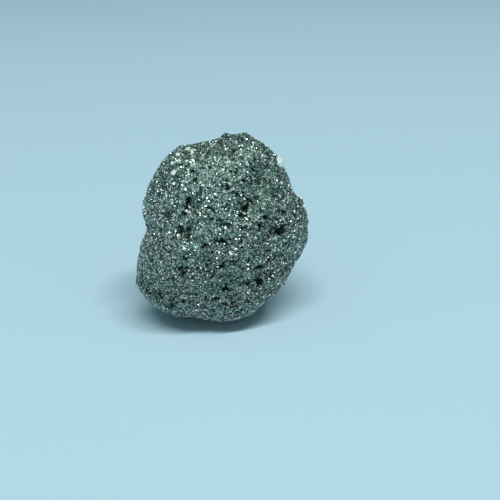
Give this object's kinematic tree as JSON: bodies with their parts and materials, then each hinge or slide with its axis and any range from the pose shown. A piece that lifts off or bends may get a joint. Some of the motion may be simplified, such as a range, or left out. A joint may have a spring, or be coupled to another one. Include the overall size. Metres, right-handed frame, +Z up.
{
  "type": "granular pyrite nodule",
  "caption": "Natural lump of small pyrite crystals grown together, with a valley and pits in its front, that stands on a small flat spot.",
  "frame": {"origin": "on the floor, under the middle of the lump's box", "axes": "+Z up and along the longest side, -Y towards the side with the valley and pits, +X to the right seen from there"},
  "size_m": [0.0528, 0.0436, 0.0588],
  "materials": {
    "pyrite": "granular, of small metallic crystals in a greenish brass grey, dark between them"
  },
  "bodies": {
    "root": {"pyrite_nodule": "pyrite"}
  },
  "joints": []
}
